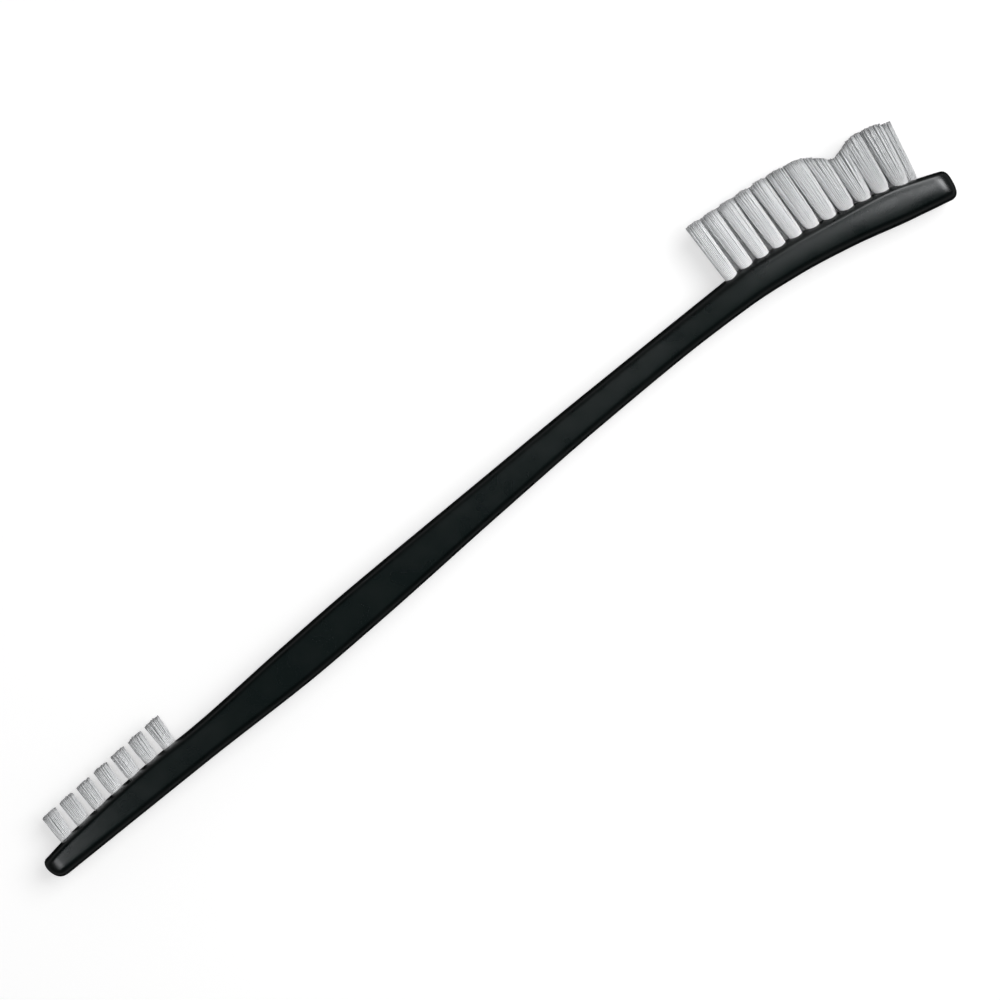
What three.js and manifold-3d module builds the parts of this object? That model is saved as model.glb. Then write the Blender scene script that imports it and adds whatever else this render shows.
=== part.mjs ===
// Club groove brush: a moulded plastic handle with a long contoured brush head at one end
// and a short single-row head at the other. Each tuft is a bundle of nylon filaments,
// folded in half over a flat metal anchor. The anchor is driven into the tuft's blind hole,
// where its two ends bite into the wall.
//
// Units are millimetres. Shapes are worked out in the brush's own axes: s runs from the
// small end to the toe of the long head, v towards the bristle tips, and w across. The
// finished part lies on its side on z = 0, with the long head towards -X and the bristle
// tips towards -Y.

import * as THREE from "three";
import { mergeVertices } from "three/addons/utils/BufferGeometryUtils.js";
import Module from "manifold-3d";

const wasm = await Module();
wasm.setup();

// Handle. An outline is a smooth curve through [s, v] or [s, size] points.
const LENGTH = 178;
const BACK_OUTLINE = [
  [0, -1.15], [30, -1.2], [50, -1.5], [64, -1.12], [90, 0.15], [112, 1.0],
  [128, 1.22], [141, 0.86], [150, -0.1], [160, -2.0], [170, -4.6], [178, -6.3],
];
const FACE_OUTLINE = [
  [0, 2.7], [6, 3.5], [26, 4.5], [29.5, 4.42], [50, 5.35], [64, 5.88], [90, 6.22],
  [112, 6.46], [142, 6.42], [150, 5.62], [160, 3.85], [168, 2.1], [173, 0.3], [178, -1.6],
];
const HALF_WIDTH = [
  [0, 2.9], [24, 3.1], [48, 4.2], [74, 4.2], [112, 3.5], [126, 3.4], [146, 4.2],
  [160, 4.2], [172, 3.95], [178, 3.7],
];
const FACE_EDGE_HEIGHT = [[0, 1.2], [120, 1.3], [146, 1.7], [178, 1.5]];
const FACE_EDGE_WIDTH = 2.75;
const BACK_EDGE_HEIGHT = 1.3;
const BACK_EDGE_WIDTH = 1.7;
const LARGEST_EDGE_SHARE = 0.46;
// Rounded ends: how far along the handle each surface falls away, and how far it falls.
const SMALL_END = { backDepth: 1.9, faceDepth: 0.5, sideDepth: 2.8, sideDrop: 1.5 };
const TOE_END = { backDepth: 1.3, faceDepth: 0.6, sideDepth: 2.8, sideDrop: 1.9 };
const TOE_SLANT = { depth: 6, slope: 0.14 };
const EDGE_STEPS = 4;
const END_STEPS = 6;
const STATION_SPACING = 4;

// Tufts, their holes and their anchors. Heights run up the tuft from the bristle face.
const GAP = 0.06;
const HOLE_RADIUS = 1.1;
const HOLE_CUT_HEIGHT = 2;
const COLLAR_HEIGHT = 0.45;
const FLARE_HEIGHT = 1.3;
const FOLD_THICKNESS = 0.5;
const FOLD_RADIUS = 0.6;
const ANCHOR = { width: 2.9, height: 1.2, thickness: 0.3, turnDegrees: 60 };
const TUFT_SIDES = 12;
const HOLE_SIDES = 14;
const TIP_PASSES = 8;
const LONG_HEAD = {
  name: "large",
  rows: [
    { name: "near_", w: 2.05, first: 141.45 },
    { name: "far_", w: -2.05, first: 143.44 },
  ],
  count: 11,
  pitch: 2.98,
  holeDepth: 3.8,
  bodyRadius: 1.2,
  tipRadius: 1.32,
  leanHeel: 2.5,
  leanToe: 10.5,
  trim: [
    [139, 16.95], [157.4, 14.85], [161.2, 13.9], [163.4, 12.2], [165.5, 10.6],
    [167.6, 11.0], [169.7, 11.55], [171.8, 11.2], [174.4, 10.35], [180, 8.6],
  ],
};
const SHORT_HEAD = {
  name: "small",
  rows: [{ name: "", w: 0, first: 5.2 }],
  count: 7,
  pitch: 3.6,
  holeDepth: 2.9,
  bodyRadius: 1.22,
  tipRadius: 1.28,
  leanHeel: 2,
  leanToe: 2,
  trim: [[0, 7.9], [32, 9.52]],
};

const NYLON = { color: 0xd8dadd, roughness: 0.45, metalness: 0 };
const PLASTIC = { color: 0x181e1f, roughness: 0.5, metalness: 0 };
const METAL = { color: 0xc8a85a, roughness: 0.3, metalness: 1 };

// The slope of a smooth curve at each of its points. It is level at a peak, at a valley
// and beside a level stretch, so the curve never swings past its own points.
function slopesOf(points) {
  const rise = (i) =>
    (points[i + 1][1] - points[i][1]) / (points[i + 1][0] - points[i][0]);
  const last = points.length - 1;
  return points.map((point, i) => {
    if (i === 0) return rise(0);
    if (i === last) return rise(last - 1);
    if (rise(i - 1) * rise(i) <= 0) return 0;
    const before = point[0] - points[i - 1][0];
    const after = points[i + 1][0] - point[0];
    const weight = before + 2 * after;
    const otherWeight = 2 * before + after;
    return (weight + otherWeight) / (weight / rise(i - 1) + otherWeight / rise(i));
  });
}

// A function that gives the height of the smooth curve through the points.
function curveThrough(points) {
  const slopes = slopesOf(points);
  return (s) => {
    const after = points.findIndex((point) => point[0] > s);
    const i = after < 0 ? points.length - 2 : Math.max(0, after - 1);
    const [start, end] = [points[i], points[i + 1]];
    const span = end[0] - start[0];
    const t = THREE.MathUtils.clamp((s - start[0]) / span, 0, 1);
    const [u, v] = [1 - t, t];
    return (
      u * u * (1 + 2 * t) * start[1] + v * v * (3 - 2 * t) * end[1] +
      span * t * u * (u * slopes[i] - t * slopes[i + 1])
    );
  };
}

const backAt = curveThrough(BACK_OUTLINE);
const faceAt = curveThrough(FACE_OUTLINE);
const halfWidthAt = curveThrough(HALF_WIDTH);
const faceEdgeHeightAt = curveThrough(FACE_EDGE_HEIGHT);

// How far a surface has fallen, at a distance from an end that is rounded over a depth.
function endDrop(distance, depth, drop) {
  if (distance >= depth) return 0;
  const t = 1 - distance / depth;
  return drop * (1 - Math.sqrt(1 - t * t));
}

// One closed surface through rings of points, with a flat cap on the first and last ring.
function loft(rings) {
  const sides = rings[0].length;
  const positions = rings.flat().flatMap((point) => point.toArray());
  const index = [];
  for (let ring = 0; ring < rings.length - 1; ring++) {
    for (let i = 0; i < sides; i++) {
      const a = ring * sides + i;
      const b = ring * sides + ((i + 1) % sides);
      index.push(a, b, b + sides, a, b + sides, a + sides);
    }
  }
  const topStart = (rings.length - 1) * sides;
  for (let i = 1; i < sides - 1; i++) {
    index.push(0, i + 1, i);
    index.push(topStart, topStart + i, topStart + i + 1);
  }
  const geometry = new THREE.BufferGeometry();
  geometry.setAttribute("position", new THREE.Float32BufferAttribute(positions, 3));
  geometry.setIndex(index);
  return geometry;
}

function solidFrom(geometry) {
  const bare = geometry.clone();
  bare.deleteAttribute("normal");
  bare.deleteAttribute("uv");
  const merged = mergeVertices(bare);
  const mesh = new wasm.Mesh({
    numProp: 3,
    vertProperties: merged.attributes.position.array,
    triVerts: new Uint32Array(merged.index.array),
  });
  return new wasm.Manifold(mesh);
}

function geometryFrom(solid) {
  const mesh = solid.getMesh();
  const geometry = new THREE.BufferGeometry();
  geometry.setAttribute("position", new THREE.BufferAttribute(mesh.vertProperties, 3));
  geometry.setIndex(new THREE.BufferAttribute(mesh.triVerts, 1));
  geometry.computeVertexNormals();
  return geometry;
}

function namedMesh(name, geometry, look) {
  const mesh = new THREE.Mesh(geometry, new THREE.MeshStandardMaterial(look));
  mesh.name = name;
  return mesh;
}

// The handle's cross-section at s: flat back, sides and bristle face, joined by four
// elliptical edges. The bristle face has the wider edges, which crown it. The toe's end is
// square to the bent head, so the last sections lean with it.
function handleRing(s) {
  const toe = LENGTH - s;
  const back =
    backAt(s) + endDrop(s, SMALL_END.backDepth, SMALL_END.backDepth) +
    endDrop(toe, TOE_END.backDepth, TOE_END.backDepth);
  const face =
    faceAt(s) - endDrop(s, SMALL_END.faceDepth, SMALL_END.faceDepth) -
    endDrop(toe, TOE_END.faceDepth, TOE_END.faceDepth);
  const half =
    halfWidthAt(s) - endDrop(s, SMALL_END.sideDepth, SMALL_END.sideDrop) -
    endDrop(toe, TOE_END.sideDepth, TOE_END.sideDrop);
  const highest = LARGEST_EDGE_SHARE * (face - back);
  const faceHeight = Math.min(faceEdgeHeightAt(s), highest);
  const backHeight = Math.min(BACK_EDGE_HEIGHT, highest);
  const widest = 2 * LARGEST_EDGE_SHARE * half;
  const faceWidth = Math.min(FACE_EDGE_WIDTH, widest);
  const backWidth = Math.min(BACK_EDGE_WIDTH, widest);
  const [faceCorner, backCorner] = [half - faceWidth, half - backWidth];
  const corners = [
    { w: faceCorner, v: face - faceHeight, width: faceWidth, height: faceHeight },
    { w: -faceCorner, v: face - faceHeight, width: faceWidth, height: faceHeight },
    { w: -backCorner, v: back + backHeight, width: backWidth, height: backHeight },
    { w: backCorner, v: back + backHeight, width: backWidth, height: backHeight },
  ];
  const slant = TOE_SLANT.slope * Math.max(0, 1 - toe / TOE_SLANT.depth);
  const ring = corners.flatMap((corner, quarter) =>
    Array.from({ length: EDGE_STEPS + 1 }, (_, step) => {
      const angle = ((quarter + step / EDGE_STEPS) * Math.PI) / 2;
      const v = corner.v + corner.height * Math.sin(angle);
      const w = corner.w + corner.width * Math.cos(angle);
      return new THREE.Vector3(s - slant * (face - v), v, w);
    }),
  );
  return ring.reverse();
}

// Places along the handle for its cross-sections, close together over the rounded ends.
function stations() {
  const places = [];
  for (let i = 0; i <= END_STEPS; i++) {
    const angle = (i / END_STEPS) * (Math.PI / 2);
    places.push(SMALL_END.sideDepth * (1 - Math.cos(angle)));
  }
  const middleEnd = LENGTH - TOE_END.sideDepth;
  const middle = middleEnd - SMALL_END.sideDepth;
  const steps = Math.round(middle / STATION_SPACING);
  for (let i = 1; i < steps; i++) {
    places.push(SMALL_END.sideDepth + (i * middle) / steps);
  }
  for (let i = 0; i <= END_STEPS; i++) {
    const angle = (i / END_STEPS) * (Math.PI / 2);
    places.push(middleEnd + TOE_END.sideDepth * Math.sin(angle));
  }
  return places;
}

// Every tuft of a head: its name, where it leaves the bristle face, and its lean.
function tuftsOf(head) {
  const firsts = head.rows.map((row) => row.first);
  const start = Math.min(...firsts);
  const run = Math.max(...firsts) + (head.count - 1) * head.pitch - start;
  return head.rows.flatMap((row) =>
    Array.from({ length: head.count }, (_, i) => {
      const s = row.first + i * head.pitch;
      const along = (s - start) / run;
      const lean = head.leanHeel + (head.leanToe - head.leanHeel) * along ** 3;
      return {
        suffix: row.name + String(i + 1).padStart(2, "0"),
        root: new THREE.Vector3(s, faceAt(s), row.w),
        lean: THREE.MathUtils.degToRad(lean),
      };
    }),
  );
}

// Puts an object whose own +Y runs up the tuft at the tuft's place.
function placeAt(object, tuft) {
  object.position.copy(tuft.root);
  object.rotation.z = -tuft.lean;
  return object;
}

// How far up the tuft the trimmed tip is, for a filament that stands off the tuft's axis.
function tipHeight(tuft, trimAt, offset) {
  const [sin, cos] = [Math.sin(tuft.lean), Math.cos(tuft.lean)];
  let height = 0;
  for (let pass = 0; pass < TIP_PASSES; pass++) {
    const s = tuft.root.x + offset * cos + height * sin;
    height = (trimAt(s) - tuft.root.y + offset * sin) / cos;
  }
  return height;
}

function tuftRing(radius, heightAt) {
  return Array.from({ length: TUFT_SIDES }, (_, i) => {
    const angle = (-2 * Math.PI * i) / TUFT_SIDES;
    const x = radius * Math.cos(angle);
    return new THREE.Vector3(x, heightAt(x), radius * Math.sin(angle));
  });
}

// A box that holds the anchor with some room to spare on every side.
function anchorBox(head, room) {
  const box = new THREE.BoxGeometry(
    ANCHOR.width + 2 * room,
    ANCHOR.height + 2 * room,
    ANCHOR.thickness + 2 * room,
  );
  box.rotateY(THREE.MathUtils.degToRad(ANCHOR.turnDegrees));
  box.translate(0, FOLD_THICKNESS + ANCHOR.height / 2 - head.holeDepth, 0);
  return box;
}

// The bundle as one solid: rounded at its fold, slim in the hole, flared to the tip.
function makeTuft(head, tuft) {
  const bottom = GAP - head.holeDepth;
  const rootRadius = HOLE_RADIUS - GAP;
  const trimAt = curveThrough(head.trim);
  const bundle = loft([
    tuftRing(FOLD_RADIUS, () => bottom),
    tuftRing(rootRadius, () => bottom + rootRadius - FOLD_RADIUS),
    tuftRing(rootRadius, () => COLLAR_HEIGHT),
    tuftRing(head.bodyRadius, () => FLARE_HEIGHT),
    tuftRing(head.tipRadius, (x) => tipHeight(tuft, trimAt, x)),
  ]);
  const slotted = solidFrom(bundle).subtract(solidFrom(anchorBox(head, GAP)));
  const mesh = namedMesh(`${head.name}_tuft_${tuft.suffix}`, geometryFrom(slotted), NYLON);
  return placeAt(mesh, tuft);
}

function makeAnchor(head, tuft) {
  const name = `${head.name}_anchor_${tuft.suffix}`;
  return placeAt(namedMesh(name, anchorBox(head, 0), METAL), tuft);
}

// The blind hole for a tuft, with the notches that the anchor's ends cut in its wall.
function makeHole(head, tuft) {
  const height = head.holeDepth + HOLE_CUT_HEIGHT;
  const bore = new THREE.CylinderGeometry(HOLE_RADIUS, HOLE_RADIUS, height, HOLE_SIDES);
  bore.translate(0, HOLE_CUT_HEIGHT - height / 2, 0);
  const hole = solidFrom(bore).add(solidFrom(anchorBox(head, GAP)));
  const place = placeAt(new THREE.Object3D(), tuft);
  place.updateMatrix();
  return solidFrom(geometryFrom(hole).applyMatrix4(place.matrix));
}

function makeHandle(heads) {
  let handle = solidFrom(loft(stations().map(handleRing)));
  for (const head of heads) {
    for (const tuft of tuftsOf(head)) {
      handle = handle.subtract(makeHole(head, tuft));
    }
  }
  return namedMesh("handle", geometryFrom(handle), PLASTIC);
}

function makeBrush() {
  const heads = [LONG_HEAD, SHORT_HEAD];
  const brush = new THREE.Group();
  brush.add(makeHandle(heads));
  for (const head of heads) {
    for (const tuft of tuftsOf(head)) {
      brush.add(makeTuft(head, tuft), makeAnchor(head, tuft));
    }
  }
  return brush;
}

// Turns the brush to its resting attitude, with the middle of its box over the origin.
function restOnSide(brush) {
  brush.rotation.z = Math.PI;
  const box = new THREE.Box3().setFromObject(brush, true);
  const centre = box.getCenter(new THREE.Vector3());
  brush.position.set(-centre.x, -centre.y, -box.min.z);
  return new THREE.Group().add(brush);
}

export default restOnSide(makeBrush());
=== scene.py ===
"""A club groove brush on a pale studio floor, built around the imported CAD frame.

The brush lies on its side, as it does in use on a table top. CAD gives the place of every
hole, tuft and anchor. This script makes the fine surfaces: the moulded handle with its
drilled heads, and every nylon filament of every tuft, folded over its metal anchor.

Blender works in metres; sizes below are in millimetres and pass through MM. As in the CAD
source, s runs from the small end to the toe of the long head, v towards the bristle tips,
and w across the handle.
"""

import math
import random

import bmesh
import bpy
import numpy as np
from mathutils import Matrix, Vector


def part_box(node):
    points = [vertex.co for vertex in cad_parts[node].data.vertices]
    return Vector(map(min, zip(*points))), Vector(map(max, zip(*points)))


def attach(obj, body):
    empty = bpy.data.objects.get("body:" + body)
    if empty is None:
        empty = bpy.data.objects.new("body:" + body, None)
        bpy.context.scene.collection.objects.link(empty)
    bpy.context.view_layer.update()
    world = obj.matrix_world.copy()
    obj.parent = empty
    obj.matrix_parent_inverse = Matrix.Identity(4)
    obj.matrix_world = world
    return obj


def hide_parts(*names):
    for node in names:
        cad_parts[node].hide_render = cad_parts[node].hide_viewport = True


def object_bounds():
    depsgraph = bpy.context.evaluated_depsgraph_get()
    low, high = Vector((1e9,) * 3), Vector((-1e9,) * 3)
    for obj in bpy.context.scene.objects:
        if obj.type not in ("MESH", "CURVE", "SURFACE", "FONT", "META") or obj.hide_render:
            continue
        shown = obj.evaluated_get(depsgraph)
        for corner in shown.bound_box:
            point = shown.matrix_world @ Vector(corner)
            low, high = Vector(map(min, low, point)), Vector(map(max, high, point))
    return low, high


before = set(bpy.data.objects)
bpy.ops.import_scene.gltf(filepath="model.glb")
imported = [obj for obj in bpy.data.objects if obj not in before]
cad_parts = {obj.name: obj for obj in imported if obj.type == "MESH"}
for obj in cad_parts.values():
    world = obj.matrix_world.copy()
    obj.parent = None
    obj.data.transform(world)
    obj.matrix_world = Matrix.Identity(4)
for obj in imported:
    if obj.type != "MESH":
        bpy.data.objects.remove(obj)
cad_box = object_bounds()

MM = 0.001
SEED = 7

# Handle. An outline is a smooth curve through [s, v] or [s, size] points, as in the CAD. The
# crown is how much of its half width a side loses at the handle's face and back.
LENGTH = 178
BACK_OUTLINE = [
    [0, -1.15], [30, -1.2], [50, -1.5], [64, -1.12], [90, 0.15], [112, 1.0],
    [128, 1.22], [141, 0.86], [150, -0.1], [160, -2.0], [170, -4.6], [178, -6.3],
]
FACE_OUTLINE = [
    [0, 2.7], [6, 3.5], [26, 4.5], [29.5, 4.42], [50, 5.35], [64, 5.88], [90, 6.22],
    [112, 6.46], [142, 6.42], [150, 5.62], [160, 3.85], [168, 2.1], [173, 0.3], [178, -1.6],
]
HALF_WIDTH = [
    [0, 2.9], [24, 3.1], [48, 4.2], [74, 4.2], [112, 3.5], [126, 3.4], [146, 4.2],
    [160, 4.2], [172, 3.95], [178, 3.7],
]
FACE_PEAK = 6.46
FACE_EDGE_HEIGHT = [[0, 1.2], [120, 1.3], [146, 1.7], [164, 1.4], [173, 1.0], [178, 1.0]]
FACE_EDGE_WIDTH = 2.75
BACK_EDGE_HEIGHT = 1.3
BACK_EDGE_WIDTH = 1.7
LARGEST_EDGE_SHARE = 0.46
CROWN = [[0, 0.02], [132, 0.02], [150, 0.07], [178, 0.07]]
SMALL_END = {"back": 1.9, "face": 0.5, "side": 2.8, "side_drop": 1.5}
TOE_END = {"back": 1.3, "face": 0.6, "side": 2.8, "side_drop": 1.9}
TOE_SLANT = {"depth": 6, "slope": 0.14}
EDGE_STEPS = 9
FLAT_STEPS = 4
END_STEPS = 16
STATION_SPACING = 0.9
HOLE_RADIUS = 1.1
HOLE_CUT_HEIGHT = 2.0
HOLE_SIDES = 40
END_RINGS = (0.7, 0.35)
END_DOME = 0.05
SEAM_HEIGHT = 0.05
SEAM_HALF_WIDTH = 0.12
LARGEST_SEAM_SHARE = 0.25
SHARPEST_SMOOTH_EDGE = math.radians(32)
SLIVER = 0.002

# Filaments: nylon, 0.22 mm thick, in rings that fill a hole.
FILAMENT_RADIUS = 0.11
FILAMENT_SPACING = 0.21
FILAMENT_RINGS = 5
FILAMENT_SIDES = 6
ANCHOR_HALF_THICKNESS = 0.15
SQUEEZE = 0.72
ROOT_DEPTH = 0.3
LEG_SHARES = (0.0, 0.06, 0.16, 0.32, 0.55, 0.78, 1.0)
FOLD_STEPS = 4
FOLD_CLEARANCE = 1.2
BOW_JITTER = 0.03
TIP_JITTER = 0.06
STRAY_SHARE = 0.03
STRAY_FACTOR = 5
SHADES = (0.96, 1.03)
TRIM_ROUNDS = 8
END_SHARE = 0.6

# How the tufts at the heel and at the toe of each head differ. Spread is how far a tuft fans
# out, and a smaller ease makes it fan out lower down. Jitter, in mm, sets how far filaments
# stray sideways, and dome how much shorter the outer ones are. A tuft's tone is a painted
# shade that darkens it, more towards the long head's toe, and its fade is a painted shade
# that darkens its tips. Tufts merge between two places along the head, as shares.
HEADS = {
    "large": (
        {"spread": 1.2, "ease": 0.45, "jitter": 0.05, "dome": 0.4, "painted_shade": 0.94, "painted_tip_shade": 0.0},
        {"spread": 1.52, "ease": 0.28, "jitter": 0.09, "dome": 0.0, "painted_shade": 0.7, "painted_tip_shade": 0.0},
    ),
    "small": (
        {"spread": 1.24, "ease": 0.45, "jitter": 0.05, "dome": 0.1, "painted_shade": 0.95, "painted_tip_shade": 0.24},
        {"spread": 1.24, "ease": 0.45, "jitter": 0.07, "dome": 0.1, "painted_shade": 0.95, "painted_tip_shade": 0.24},
    ),
}
MERGE = (0.25, 0.65)
DOME_POWER = 4


# ---------------------------------------------------------------- outline curves


def slopes_of(points):
    """Slopes of a smooth curve at its points, level at peaks, valleys and level stretches."""
    rise = [
        (b[1] - a[1]) / (b[0] - a[0]) for a, b in zip(points[:-1], points[1:])
    ]
    slopes = [rise[0]]
    for i in range(1, len(points) - 1):
        if rise[i - 1] * rise[i] <= 0:
            slopes.append(0.0)
            continue
        before = points[i][0] - points[i - 1][0]
        after = points[i + 1][0] - points[i][0]
        weight = before + 2 * after
        other = 2 * before + after
        slopes.append((weight + other) / (weight / rise[i - 1] + other / rise[i]))
    slopes.append(rise[-1])
    return slopes


def curve_through(points):
    """A function that gives the height of the smooth curve through the points."""
    slopes = slopes_of(points)

    def height(s):
        later = [i for i, point in enumerate(points) if point[0] > s]
        i = max(0, later[0] - 1) if later else len(points) - 2
        (s0, h0), (s1, h1) = points[i], points[i + 1]
        span = s1 - s0
        t = min(1.0, max(0.0, (s - s0) / span))
        u = 1 - t
        return (
            u * u * (1 + 2 * t) * h0
            + t * t * (3 - 2 * t) * h1
            + span * t * u * (u * slopes[i] - t * slopes[i + 1])
        )

    return height


back_at = curve_through(BACK_OUTLINE)
face_at = curve_through(FACE_OUTLINE)
half_width_at = curve_through(HALF_WIDTH)
face_edge_height_at = curve_through(FACE_EDGE_HEIGHT)
crown_at = curve_through(CROWN)

handle_low, handle_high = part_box("handle")
middle_z = (handle_low.z + handle_high.z) / 2


def place(s, v, w):
    """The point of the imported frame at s, v, w in the brush's own axes."""
    return Vector((
        handle_high.x - s * MM,
        handle_low.y + (FACE_PEAK - v) * MM,
        middle_z + w * MM,
    ))


# ---------------------------------------------------------------- handle


def end_drop(distance, depth, drop):
    """How far a surface has fallen near an end that is rounded over a depth."""
    if distance >= depth:
        return 0.0
    t = 1 - distance / depth
    return drop * (1 - math.sqrt(1 - t * t))


def corner_points(corner, quarter):
    """Points round one edge of the handle's cross-section, as (w, v)."""
    w, v, width, height = corner
    points = []
    for step in range(EDGE_STEPS + 1):
        angle = (quarter + step / EDGE_STEPS) * math.pi / 2
        points.append((w + width * math.cos(angle), v + height * math.sin(angle)))
    return points


def handle_ring(s):
    """The cross-section at s: slightly crowned sides, joined by four elliptical edges.

    The toe's end is square to the bent head, so the last sections lean with it.
    """
    toe = LENGTH - s
    back = back_at(s)
    back += end_drop(s, SMALL_END["back"], SMALL_END["back"])
    back += end_drop(toe, TOE_END["back"], TOE_END["back"])
    face = face_at(s)
    face -= end_drop(s, SMALL_END["face"], SMALL_END["face"])
    face -= end_drop(toe, TOE_END["face"], TOE_END["face"])
    half = half_width_at(s)
    half -= end_drop(s, SMALL_END["side"], SMALL_END["side_drop"])
    half -= end_drop(toe, TOE_END["side"], TOE_END["side_drop"])
    highest = LARGEST_EDGE_SHARE * (face - back)
    face_height = min(face_edge_height_at(s), highest)
    back_height = min(BACK_EDGE_HEIGHT, highest)
    widest = 2 * LARGEST_EDGE_SHARE * half
    face_width = min(FACE_EDGE_WIDTH, widest)
    back_width = min(BACK_EDGE_WIDTH, widest)
    corners = [
        (half - face_width, face - face_height, face_width, face_height),
        (face_width - half, face - face_height, face_width, face_height),
        (back_width - half, back + back_height, back_width, back_height),
        (half - back_width, back + back_height, back_width, back_height),
    ]
    arcs = [corner_points(corner, quarter) for quarter, corner in enumerate(corners)]
    ring = []
    for quarter, arc in enumerate(arcs):
        following = arcs[(quarter + 1) % len(arcs)]
        rise = (SEAM_HEIGHT, 0, -SEAM_HEIGHT, 0)[quarter]
        ring += arc + flat_points(arc[-1], following[0], rise)
    middle = (face + back) / 2
    reach = (face - back) / 2
    crown = crown_at(s)
    slant = TOE_SLANT["slope"] * max(0, 1 - toe / TOE_SLANT["depth"])
    return [
        place(s - slant * (face - v), v, w * (1 - crown * ((v - middle) / reach) ** 2))
        for w, v in ring
    ]


def flat_points(start, end, rise):
    """Points across a flat of the cross-section. A rise makes the mould's seam in its middle."""
    (w0, v0), (w1, v1) = start, end
    if rise:
        half = min(SEAM_HALF_WIDTH, LARGEST_SEAM_SHARE * abs(w1 - w0))
        side = math.copysign(half, w1 - w0)
        return [(-side, v0), (0, v0 + rise), (side, v0)]
    shares = [step / FLAT_STEPS for step in range(1, FLAT_STEPS)]
    return [(w0 + t * (w1 - w0), v0 + t * (v1 - v0)) for t in shares]


def stations():
    """Places along the handle for its cross-sections, close together at the ends."""
    turns = [i / END_STEPS * math.pi / 2 for i in range(END_STEPS + 1)]
    places = [SMALL_END["side"] * (1 - math.cos(turn)) for turn in turns]
    middle_end = LENGTH - TOE_END["side"]
    middle = middle_end - SMALL_END["side"]
    steps = round(middle / STATION_SPACING)
    places += [SMALL_END["side"] + i * middle / steps for i in range(1, steps)]
    places += [middle_end + TOE_END["side"] * math.sin(turn) for turn in turns]
    return places


def close_end(mesh, ring, dome):
    """Closes an end with smaller and smaller rings and a middle point, slightly domed."""
    outline = [vert.co.copy() for vert in ring]
    centre = sum(outline, Vector()) / len(outline)
    for share in END_RINGS:
        lift = Vector((dome * (1 - share * share) * MM, 0, 0))
        inner = [mesh.verts.new(centre.lerp(point, share) + lift) for point in outline]
        bridge(mesh, ring, inner)
        ring = inner
    tip = mesh.verts.new(centre + Vector((dome * MM, 0, 0)))
    for i, vert in enumerate(ring):
        mesh.faces.new((vert, ring[(i + 1) % len(ring)], tip))


def bridge(mesh, ring, following):
    """A band of faces between two rings with the same number of points."""
    for i in range(len(ring)):
        j = (i + 1) % len(ring)
        mesh.faces.new((ring[i], ring[j], following[j], following[i]))


def object_from(mesh, name):
    """A Blender object from a bmesh, with its normals facing out."""
    bmesh.ops.recalc_face_normals(mesh, faces=mesh.faces)
    data = bpy.data.meshes.new(name)
    mesh.to_mesh(data)
    mesh.free()
    made = bpy.data.objects.new(name, data)
    bpy.context.scene.collection.objects.link(made)
    return made


def hole_cutter(tufts):
    """One object that holds a cylinder for every tuft's blind hole."""
    mesh = bmesh.new()
    for tuft in tufts:
        height = tuft["depth"] + HOLE_CUT_HEIGHT * MM
        middle = tuft["mouth"] + tuft["axis"] * (HOLE_CUT_HEIGHT * MM - height / 2)
        turn = tuft["axis"].to_track_quat("Z", "Y").to_matrix().to_4x4()
        bmesh.ops.create_cone(
            mesh,
            cap_ends=True,
            segments=HOLE_SIDES,
            radius1=HOLE_RADIUS * MM,
            radius2=HOLE_RADIUS * MM,
            depth=height,
            matrix=Matrix.Translation(middle) @ turn,
        )
    return object_from(mesh, "hole_cutter")


def apply_modifiers(piece):
    """Makes the result of a piece's modifiers its own mesh."""
    graph = bpy.context.evaluated_depsgraph_get()
    made = bpy.data.meshes.new_from_object(piece.evaluated_get(graph), depsgraph=graph)
    piece.modifiers.clear()
    piece.data = made


def smooth_except_sharp(piece):
    """Smooth shading with the steep edges kept sharp, and no slivers left by the drilling."""
    mesh = bmesh.new()
    mesh.from_mesh(piece.data)
    bmesh.ops.remove_doubles(mesh, verts=mesh.verts, dist=SLIVER * MM)
    for edge in mesh.edges:
        joins_two = len(edge.link_faces) == 2
        edge.smooth = joins_two and edge.calc_face_angle() < SHARPEST_SMOOTH_EDGE
    for face in mesh.faces:
        face.smooth = True
    mesh.to_mesh(piece.data)
    mesh.free()


def make_handle(tufts):
    """The handle's moulding, with a blind hole drilled for every tuft."""
    mesh = bmesh.new()
    rings = [[mesh.verts.new(point) for point in handle_ring(s)] for s in stations()]
    for ring, following in zip(rings[:-1], rings[1:]):
        bridge(mesh, ring, following)
    close_end(mesh, rings[0], END_DOME)
    close_end(mesh, rings[-1], -END_DOME)
    handle = object_from(mesh, "handle_moulding")
    cutter = hole_cutter(tufts)
    cut = handle.modifiers.new("holes", "BOOLEAN")
    cut.operation = "DIFFERENCE"
    cut.solver = "EXACT"
    cut.object = cutter
    apply_modifiers(handle)
    bpy.data.objects.remove(cutter)
    smooth_except_sharp(handle)
    return handle


# ---------------------------------------------------------------- tufts


def points_of(node):
    """The corners of a CAD node's mesh, in metres."""
    return [vert.co.copy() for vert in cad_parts[node].data.vertices]


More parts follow.
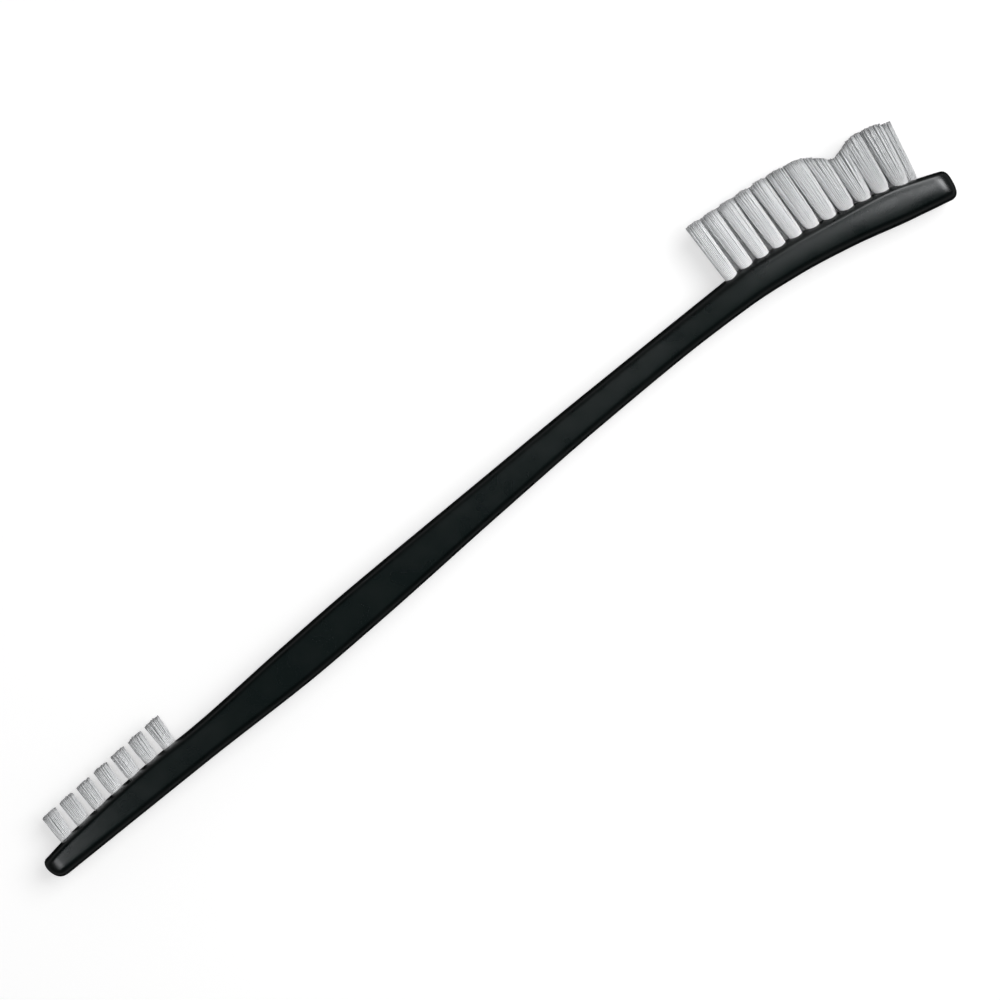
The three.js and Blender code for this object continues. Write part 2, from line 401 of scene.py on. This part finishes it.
def read_tuft(name):
    """A tuft's place and directions, from its CAD solid and its anchor's."""
    anchor_name = name.replace("tuft", "anchor")
    low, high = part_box(anchor_name)
    anchor = (low + high) / 2
    points = points_of(name)
    reach = max(anchor.y - point.y for point in points)
    ends = [point for point in points if anchor.y - point.y > END_SHARE * reach]
    middle = sum(ends, Vector()) / len(ends)
    middle.x = (min(end.x for end in ends) + max(end.x for end in ends)) / 2
    axis = (middle - anchor).normalized()
    spans = [point - anchor for point in points_of(anchor_name)]
    flat_spans = [span - axis * span.dot(axis) for span in spans]
    across = max(flat_spans, key=lambda span: (span.length, span.x)).normalized()
    mouth_height = height_to_face(anchor, axis)
    bottom = min((point - anchor).dot(axis) for point in points)
    return {
        "name": name,
        "s": (handle_high.x - anchor.x) / MM,
        "anchor": anchor,
        "axis": axis,
        "across": across,
        "normal": axis.cross(across),
        "bottom": bottom,
        "mouth": anchor + axis * mouth_height,
        "depth": mouth_height - bottom,
        "ends": ends,
    }


def height_to_face(anchor, axis):
    """How far along its axis a tuft goes from its anchor's middle to the bristle face."""
    height = 0.0
    for _ in range(TRIM_ROUNDS):
        point = anchor + axis * height
        s = (handle_high.x - point.x) / MM
        height += point.y - place(s, face_at(s), 0).y
    return height


def trim_line(tufts):
    """The trimmed outline of a head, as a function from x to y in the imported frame."""
    ends = sorted((end.x, end.y) for tuft in tufts for end in tuft["ends"])
    xs = np.array([end[0] for end in ends])
    ys = np.array([end[1] for end in ends])
    return lambda x: float(np.interp(x, xs, ys))


def leg_places():
    """Where filaments stand in a hole on one side of the anchor, in mm along and off it."""
    limit = HOLE_RADIUS - FILAMENT_RADIUS
    places = []
    for ring in range(FILAMENT_RINGS):
        radius = limit * (ring + 0.5) / (FILAMENT_RINGS - 0.5)
        count = round(math.pi * radius / FILAMENT_SPACING)
        turns = [math.pi * (i + 0.5) / count for i in range(count)]
        places += [(radius * math.cos(turn), radius * math.sin(turn)) for turn in turns]
    return places


def sideways(tuft, along, off):
    """A step across the tuft, from millimetres along the anchor and off its flat side."""
    return (tuft["across"] * along + tuft["normal"] * off) * MM


def beside_anchor(tuft, along, off, side):
    """Where a leg passes the anchor, pressed against its neighbours within the hole."""
    gap = ANCHOR_HALF_THICKNESS + FILAMENT_RADIUS + SQUEEZE * off
    step = sideways(tuft, along, side * gap)
    limit = (HOLE_RADIUS - FILAMENT_RADIUS) * MM
    return step * min(1.0, limit / step.length)


def leg_points(tuft, along, off, side, trim, dice):
    """Points up one leg of a folded filament, from beside the anchor to its tip.

    The floor turns aside any filament that strays down to it.
    """
    axis = tuft["axis"]
    mouth = tuft["mouth"]
    spread = tuft["spread"]
    root = sideways(tuft, along, side * off)
    jitter = sideways(tuft, dice.gauss(0, tuft["jitter"]), dice.gauss(0, tuft["jitter"]))
    bow = sideways(tuft, dice.gauss(0, BOW_JITTER), dice.gauss(0, BOW_JITTER))
    if dice.random() < STRAY_SHARE:
        jitter *= 1 + STRAY_FACTOR * dice.random()
    tip = mouth + root * spread + jitter
    length = 0.0
    for _ in range(TRIM_ROUNDS):
        end = tip + axis * length
        length -= (end.y - trim(end.x)) / axis.y
    length += dice.gauss(0, TIP_JITTER * MM)
    length -= tuft["dome"] * MM * (math.hypot(along, off) / HOLE_RADIUS) ** DOME_POWER
    points = [tuft["anchor"] + beside_anchor(tuft, along, off, side)]
    points.append(mouth + root - axis * (ROOT_DEPTH * MM))
    for share in LEG_SHARES:
        growth = 1 + (spread - 1) * share ** tuft["ease"]
        drift = jitter * share + bow * math.sin(math.pi * share)
        point = mouth + root * growth + drift + axis * (share * length)
        point.z = max(point.z, cad_box[0][2] + FILAMENT_RADIUS * MM)
        points.append(point)
    return points


def fold_points(tuft, start, end):
    """Points of the fold that joins two legs under the anchor."""
    half = (start - end) / 2
    middle = (start + end) / 2
    room = -tuft["bottom"] - FOLD_CLEARANCE * FILAMENT_RADIUS * MM
    turns = [math.pi * step / FOLD_STEPS for step in range(1, FOLD_STEPS)]
    return [
        middle + half * math.cos(turn) - tuft["axis"] * (room * math.sin(turn))
        for turn in turns
    ]


def add_tube(mesh, layers, points, heights, shades):
    """A closed filament along the points, with its height up the tuft and its tone, painted
    shade included, at each.
    """
    rings = []
    side = (points[1] - points[0]).orthogonal()
    for i, point in enumerate(points):
        before = points[max(0, i - 1)]
        after = points[min(len(points) - 1, i + 1)]
        tangent = (after - before).normalized()
        side = (side - tangent * side.dot(tangent)).normalized()
        other = tangent.cross(side)
        ring = []
        for k in range(FILAMENT_SIDES):
            turn = 2 * math.pi * k / FILAMENT_SIDES
            offset = side * math.cos(turn) + other * math.sin(turn)
            vert = mesh.verts.new(point + offset * (FILAMENT_RADIUS * MM))
            vert[layers["height"]] = heights[i]
            vert[layers["tone_and_painted_shade"]] = shades[i]
            ring.append(vert)
        rings.append(ring)
    for ring, following in zip(rings[:-1], rings[1:]):
        bridge(mesh, ring, following)
    mesh.faces.new(rings[0])
    mesh.faces.new(rings[-1])


def make_filaments(tuft, trim):
    """Every filament of a tuft, folded under the anchor and trimmed to the outline."""
    dice = random.Random(f"{SEED} {tuft['name']}")
    mesh = bmesh.new()
    layers = {name: mesh.verts.layers.float.new(name) for name in ("height", "tone_and_painted_shade")}
    leg_heights = (0, 0) + LEG_SHARES
    for along, off in leg_places():
        near = leg_points(tuft, along, off, 1, trim, dice)
        far = leg_points(tuft, along, off, -1, trim, dice)
        fold = fold_points(tuft, near[0], far[0])
        points = near[::-1] + fold + far
        heights = leg_heights[::-1] + (0,) * len(fold) + leg_heights
        # The filament's random tone times the tuft's painted shade, with painted shade darkening
        # it towards the tip.
        tone_and_painted_shade = tuft["painted_shade"] * dice.uniform(*SHADES)
        shades = [tone_and_painted_shade * (1 - tuft["painted_tip_shade"] * height) for height in heights]
        add_tube(mesh, layers, points, heights, shades)
    piece = object_from(mesh, tuft["name"].replace("tuft", "filaments"))
    for polygon in piece.data.polygons:
        polygon.use_smooth = len(polygon.vertices) == 4
    return piece


# ---------------------------------------------------------------- materials

# Most of a noise texture's values lie between these two.
NOISE_LOW = 0.3
NOISE_HIGH = 0.7
PLASTIC_SHADES = ((0.0009, 0.0022, 0.0021), (0.0015, 0.0030, 0.0027))
BRASS_SHADES = ((0.62, 0.44, 0.2), (0.8, 0.62, 0.32))
# Nylon's colour by height up a filament: the paler root is painted light, the dark tip painted
# shade.
NYLON_COLOUR_AND_PAINTED_LIGHT = [
    (0.0, (0.94, 0.945, 0.955)),
    (0.2, (0.88, 0.89, 0.905)),
    (0.9, (0.84, 0.85, 0.865)),
    (1.0, (0.5, 0.505, 0.515)),
]


def new_material(name):
    """A material with its node tree and its main shader."""
    material = bpy.data.materials.new(name)
    material.use_nodes = True
    tree = material.node_tree
    shader = tree.nodes["Principled BSDF"]
    return material, tree, shader


def noise_from(tree, scale, detail):
    """Noise by place in the frame, with its scale in lumps per metre."""
    node = tree.nodes.new("ShaderNodeTexNoise")
    node.inputs["Scale"].default_value = scale
    node.inputs["Detail"].default_value = detail
    position = tree.nodes.new("ShaderNodeNewGeometry")
    tree.links.new(position.outputs["Position"], node.inputs["Vector"])
    return node.outputs["Fac"]


def range_from(tree, source, low, high, out_low, out_high):
    """A value carried over evenly from one range to another."""
    node = tree.nodes.new("ShaderNodeMapRange")
    node.inputs["From Min"].default_value = low
    node.inputs["From Max"].default_value = high
    node.inputs["To Min"].default_value = out_low
    node.inputs["To Max"].default_value = out_high
    tree.links.new(source, node.inputs["Value"])
    return node.outputs["Result"]


def ramp_from(tree, source, stops):
    """A colour that changes with a value, through stops of position and colour."""
    node = tree.nodes.new("ShaderNodeValToRGB")
    ramp = node.color_ramp
    while len(ramp.elements) < len(stops):
        ramp.elements.new(0.5)
    for element, (position, colour) in zip(ramp.elements, stops):
        element.position = position
        element.color = (*colour, 1)
    tree.links.new(source, node.inputs["Fac"])
    return node.outputs["Color"]


def two_shades(tree, noise, shades):
    """A colour that wanders between two shades."""
    return ramp_from(tree, noise, list(zip((NOISE_LOW, NOISE_HIGH), shades)))


def roughness_from(tree, shader, noise, low, high):
    """A roughness that wanders between two values."""
    roughness = range_from(tree, noise, NOISE_LOW, NOISE_HIGH, low, high)
    tree.links.new(roughness, shader.inputs["Roughness"])


def bump_from(tree, shader, source, strength, distance):
    """A fine relief on a material's surface, with its full height in millimetres."""
    bump = tree.nodes.new("ShaderNodeBump")
    bump.inputs["Strength"].default_value = strength
    bump.inputs["Distance"].default_value = distance * MM
    tree.links.new(source, bump.inputs["Height"])
    tree.links.new(bump.outputs["Normal"], shader.inputs["Normal"])


def plastic_material():
    """Black moulded plastic: satin grain, faint flow marks and patches rubbed smoother."""
    material, tree, shader = new_material("moulded_plastic")
    grain = noise_from(tree, scale=2400, detail=3)
    flow = noise_from(tree, scale=160, detail=1)
    rubbed = noise_from(tree, scale=300, detail=1)
    tree.links.new(two_shades(tree, flow, PLASTIC_SHADES), shader.inputs["Base Color"])
    roughness_from(tree, shader, rubbed, 0.25, 0.34)
    shader.inputs["Specular IOR Level"].default_value = 0.45
    shader.inputs["Specular Tint"].default_value = (0.97, 0.98, 1.0, 1)
    bump_from(tree, shader, grain, strength=0.008, distance=0.02)
    return material


def nylon_material():
    """Milky nylon: each filament has its own tone, with painted light paler at the root and
    painted shade at the tip.
    """
    material, tree, shader = new_material("nylon_filament")
    height = tree.nodes.new("ShaderNodeAttribute")
    height.attribute_name = "height"
    tone_and_painted_shade = tree.nodes.new("ShaderNodeAttribute")
    tone_and_painted_shade.attribute_name = "tone_and_painted_shade"
    colour = ramp_from(tree, height.outputs["Fac"], NYLON_COLOUR_AND_PAINTED_LIGHT)
    varied = tree.nodes.new("ShaderNodeHueSaturation")
    tree.links.new(tone_and_painted_shade.outputs["Fac"], varied.inputs["Value"])
    tree.links.new(colour, varied.inputs["Color"])
    tree.links.new(varied.outputs["Color"], shader.inputs["Base Color"])
    streaks = noise_from(tree, scale=1800, detail=2)
    roughness_from(tree, shader, streaks, 0.38, 0.5)
    shader.inputs["Subsurface Weight"].default_value = 0.6
    shader.inputs["Subsurface Radius"].default_value = (1, 1, 1)
    shader.inputs["Subsurface Scale"].default_value = 0.25 * MM
    return material


def anchor_material():
    """Stamped brass strip with faint rolling marks."""
    material, tree, shader = new_material("anchor_brass")
    marks = noise_from(tree, scale=2600, detail=4)
    tree.links.new(two_shades(tree, marks, BRASS_SHADES), shader.inputs["Base Color"])
    roughness_from(tree, shader, marks, 0.25, 0.4)
    shader.inputs["Metallic"].default_value = 1.0
    return material


def dress(piece, material):
    """Gives a piece one material."""
    piece.data.materials.clear()
    piece.data.materials.append(material)


# ---------------------------------------------------------------- the brush


def character_of(head, along):
    """How a tuft stands, from 0 at its head's heel, where tufts part, to 1 at the toe."""
    heel, toe = HEADS[head]
    begin, end = MERGE
    t = min(1.0, max(0.0, (along - begin) / (end - begin)))
    merged = t * t * (3 - 2 * t)
    character = {key: heel[key] + (toe[key] - heel[key]) * merged for key in heel}
    # Painted shade: tufts are painted darker towards the toe.
    character["painted_shade"] = heel["painted_shade"] + (toe["painted_shade"] - heel["painted_shade"]) * along * along
    return character


def make_brush():
    """The handle and every tuft, each in place of its CAD node, and the CAD's own anchors."""
    plastic = plastic_material()
    nylon = nylon_material()
    brass = anchor_material()
    names = sorted(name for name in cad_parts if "_tuft_" in name)
    tufts = [read_tuft(name) for name in names]
    handle = make_handle(tufts)
    dress(handle, plastic)
    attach(handle, "root")
    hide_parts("handle")
    for head in ("large", "small"):
        members = [tuft for tuft in tufts if tuft["name"].startswith(head)]
        trim = trim_line(members)
        heel = min(tuft["s"] for tuft in members)
        toe = max(tuft["s"] for tuft in members)
        for tuft in members:
            along = (tuft["s"] - heel) / (toe - heel)
            tuft.update(character_of(head, along))
            piece = make_filaments(tuft, trim)
            dress(piece, nylon)
            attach(piece, "root")
            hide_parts(tuft["name"])
    for name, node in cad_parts.items():
        if "_anchor_" in name:
            dress(node, brass)


# ---------------------------------------------------------------- studio

# The camera, with its lens and sensor in mm and the width of its view in mm at its aim. It looks
# straight down, with the brush rising to the right across the picture.
TILT = math.radians(38.915)
CAMERA_LENS = 100
CAMERA_SENSOR = 36
VIEW_WIDTH = 157.0
AIM = Vector((-2.4, 3.5, 4.2)) * MM

# The floor's size is in metres and its height in millimetres. Its glow is given by distance, in
# metres, and what reflections see of it rises between the two places where its sheen starts.
FLOOR_SIZE = 4
FLOOR_HEIGHT = -0.02
FLOOR_SHADE = 0.6
FLOOR_GLOW = [(0.12, 0.5), (0.3, 0.68), (0.6, 0.8), (1.0, 0.86)]
FLOOR_MIRRORED = (0.01, 0.35)
FLOOR_SHEEN_STARTS = (0.5, 0.75)
SURROUND_STRENGTH = 0.277
BLACK = (0.0, 0.0, 0.0)

# What reflections see of the surround, by the height of their direction: 0 level, 1 overhead.
# It is dark but for a low grey wall and a blue-green ceiling.
LOW_WALL = (0.08, 0.08, 0.08)
CEILING = (0.105, 0.168, 0.165)
MIRRORED_SURROUND = [
    (0.0, BLACK),
    (0.08, LOW_WALL),
    (0.35, LOW_WALL),
    (0.55, BLACK),
    (0.74, BLACK),
    (0.96, CEILING),
]

# Lights and cards, in metres and watts. Each stands at a place, aims at another, and has a size
# and a power.
MIDDLE = (0.0, 0.0, 0.0)
TOE = (-0.085, 0.0, 0.0)
SMALL_HEAD = (0.085, 0.0, 0.0)
LIGHTS = {
    "key": ((-0.25, 0.02, 0.43), MIDDLE, (0.34, 0.34), 1.6),
    "fill": ((0.0, 0.0, 0.6), MIDDLE, (0.12, 0.12), 0.63),
}
CARDS = {
    "toe_end_card": ((-0.31, 0.0, 0.24), TOE, (0.12, 0.12), 0.6),
    "toe_slope_card": ((-0.233, -0.02, 0.37), TOE, (0.08, 0.13), 0.22),
    "toe_card": ((-0.165, -0.045, 0.42), TOE, (0.1, 0.14), 0.055),
    "bristle_side_card": ((-0.31, -0.22, 0.245), TOE, (0.22, 0.33), 1.5),
    "small_end_card": ((0.125, 0.0, 0.09), SMALL_HEAD, (0.03, 0.03), 0.02),
}


def make_floor():
    """A white floor that glows towards the camera, more so further out, where light is weaker.

    Shadows stay faint on it. Reflections see it as nearly black from above, and paler at low
    angles.
    """
    bpy.ops.mesh.primitive_plane_add(size=FLOOR_SIZE, location=(0, 0, FLOOR_HEIGHT * MM))
    floor = bpy.context.object
    floor.name = "floor"
    material, tree, shader = new_material("pale_floor")
    shader.inputs["Base Color"].default_value = (FLOOR_SHADE, FLOOR_SHADE, FLOOR_SHADE, 1)
    shader.inputs["Roughness"].default_value = 0.9
    shader.inputs["Specular IOR Level"].default_value = 0.0
    path = tree.nodes.new("ShaderNodeLightPath")
    position = tree.nodes.new("ShaderNodeNewGeometry").outputs["Position"]
    distance = tree.nodes.new("ShaderNodeVectorMath")
    distance.operation = "LENGTH"
    tree.links.new(position, distance.inputs[0])
    glow = ramp_from(tree, distance.outputs["Value"], [(r, (g, g, g)) for r, g in FLOOR_GLOW])
    tree.links.new(glow, shader.inputs["Emission Color"])
    tree.links.new(path.outputs["Is Camera Ray"], shader.inputs["Emission Strength"])
    facing = tree.nodes.new("ShaderNodeLayerWeight").outputs["Facing"]
    sheen = range_from(tree, facing, *FLOOR_SHEEN_STARTS, *FLOOR_MIRRORED)
    dim = tree.nodes.new("ShaderNodeEmission")
    tree.links.new(sheen, dim.inputs["Strength"])
    mix = tree.nodes.new("ShaderNodeMixShader")
    tree.links.new(path.outputs["Is Glossy Ray"], mix.inputs["Fac"])
    tree.links.new(shader.outputs["BSDF"], mix.inputs[1])
    tree.links.new(dim.outputs["Emission"], mix.inputs[2])
    tree.links.new(mix.outputs["Shader"], tree.nodes["Material Output"].inputs["Surface"])
    dress(floor, material)


def make_light(name, position, aim, size, power):
    """A rectangular soft light, hidden from the camera."""
    data = bpy.data.lights.new(name, "AREA")
    data.shape = "RECTANGLE"
    data.size, data.size_y = size
    data.energy = power
    light = bpy.data.objects.new(name, data)
    light.location = position
    toward = Vector(aim) - light.location
    light.rotation_euler = toward.to_track_quat("-Z", "Y").to_euler()
    light.visible_camera = False
    bpy.context.scene.collection.objects.link(light)
    return light


def make_card(name, position, aim, size, power):
    """A light that only shines in reflections, as a white card held near a glossy thing does."""
    card = make_light(name, position, aim, size, power)
    card.visible_diffuse = False
    card.visible_transmission = False


def make_camera():
    """The camera, straight above its aim."""
    data = bpy.data.cameras.new("camera")
    data.lens = CAMERA_LENS
    data.sensor_width = CAMERA_SENSOR
    camera = bpy.data.objects.new("camera", data)
    right = Vector((-math.cos(TILT), math.sin(TILT), 0))
    up = Vector((-math.sin(TILT), -math.cos(TILT), 0))
    distance = VIEW_WIDTH * MM * CAMERA_LENS / data.sensor_width
    turn = Matrix((right, up, Vector((0, 0, 1)))).transposed().to_4x4()
    camera.matrix_world = Matrix.Translation(AIM + Vector((0, 0, distance))) @ turn
    bpy.context.scene.collection.objects.link(camera)
    bpy.context.scene.camera = camera


def make_world():
    """A surround that the camera sees as white, that lights softly and mirrors mostly dark."""
    world = bpy.data.worlds.new("studio")
    bpy.context.scene.world = world
    world.use_nodes = True
    tree = world.node_tree
    path = tree.nodes.new("ShaderNodeLightPath")
    direction = tree.nodes.new("ShaderNodeTexCoord")
    split = tree.nodes.new("ShaderNodeSeparateXYZ")
    tree.links.new(direction.outputs["Generated"], split.inputs["Vector"])
    lit = range_from(tree, path.outputs["Is Camera Ray"], 0, 1, SURROUND_STRENGTH, 1)
    mirrored = ramp_from(tree, split.outputs["Z"], MIRRORED_SURROUND)
    choice = tree.nodes.new("ShaderNodeMixRGB")
    tree.links.new(path.outputs["Is Glossy Ray"], choice.inputs["Fac"])
    tree.links.new(lit, choice.inputs["Color1"])
    tree.links.new(mirrored, choice.inputs["Color2"])
    tree.links.new(choice.outputs["Color"], tree.nodes["Background"].inputs["Color"])


def make_studio():
    """The floor, lights that miss reflections, cards that only they see, and the camera."""
    make_floor()
    for name, setup in LIGHTS.items():
        make_light(name, *setup).visible_glossy = False
    for name, setup in CARDS.items():
        make_card(name, *setup)
    make_world()
    make_camera()
    bpy.context.scene.view_settings.view_transform = "Standard"


make_brush()
make_studio()
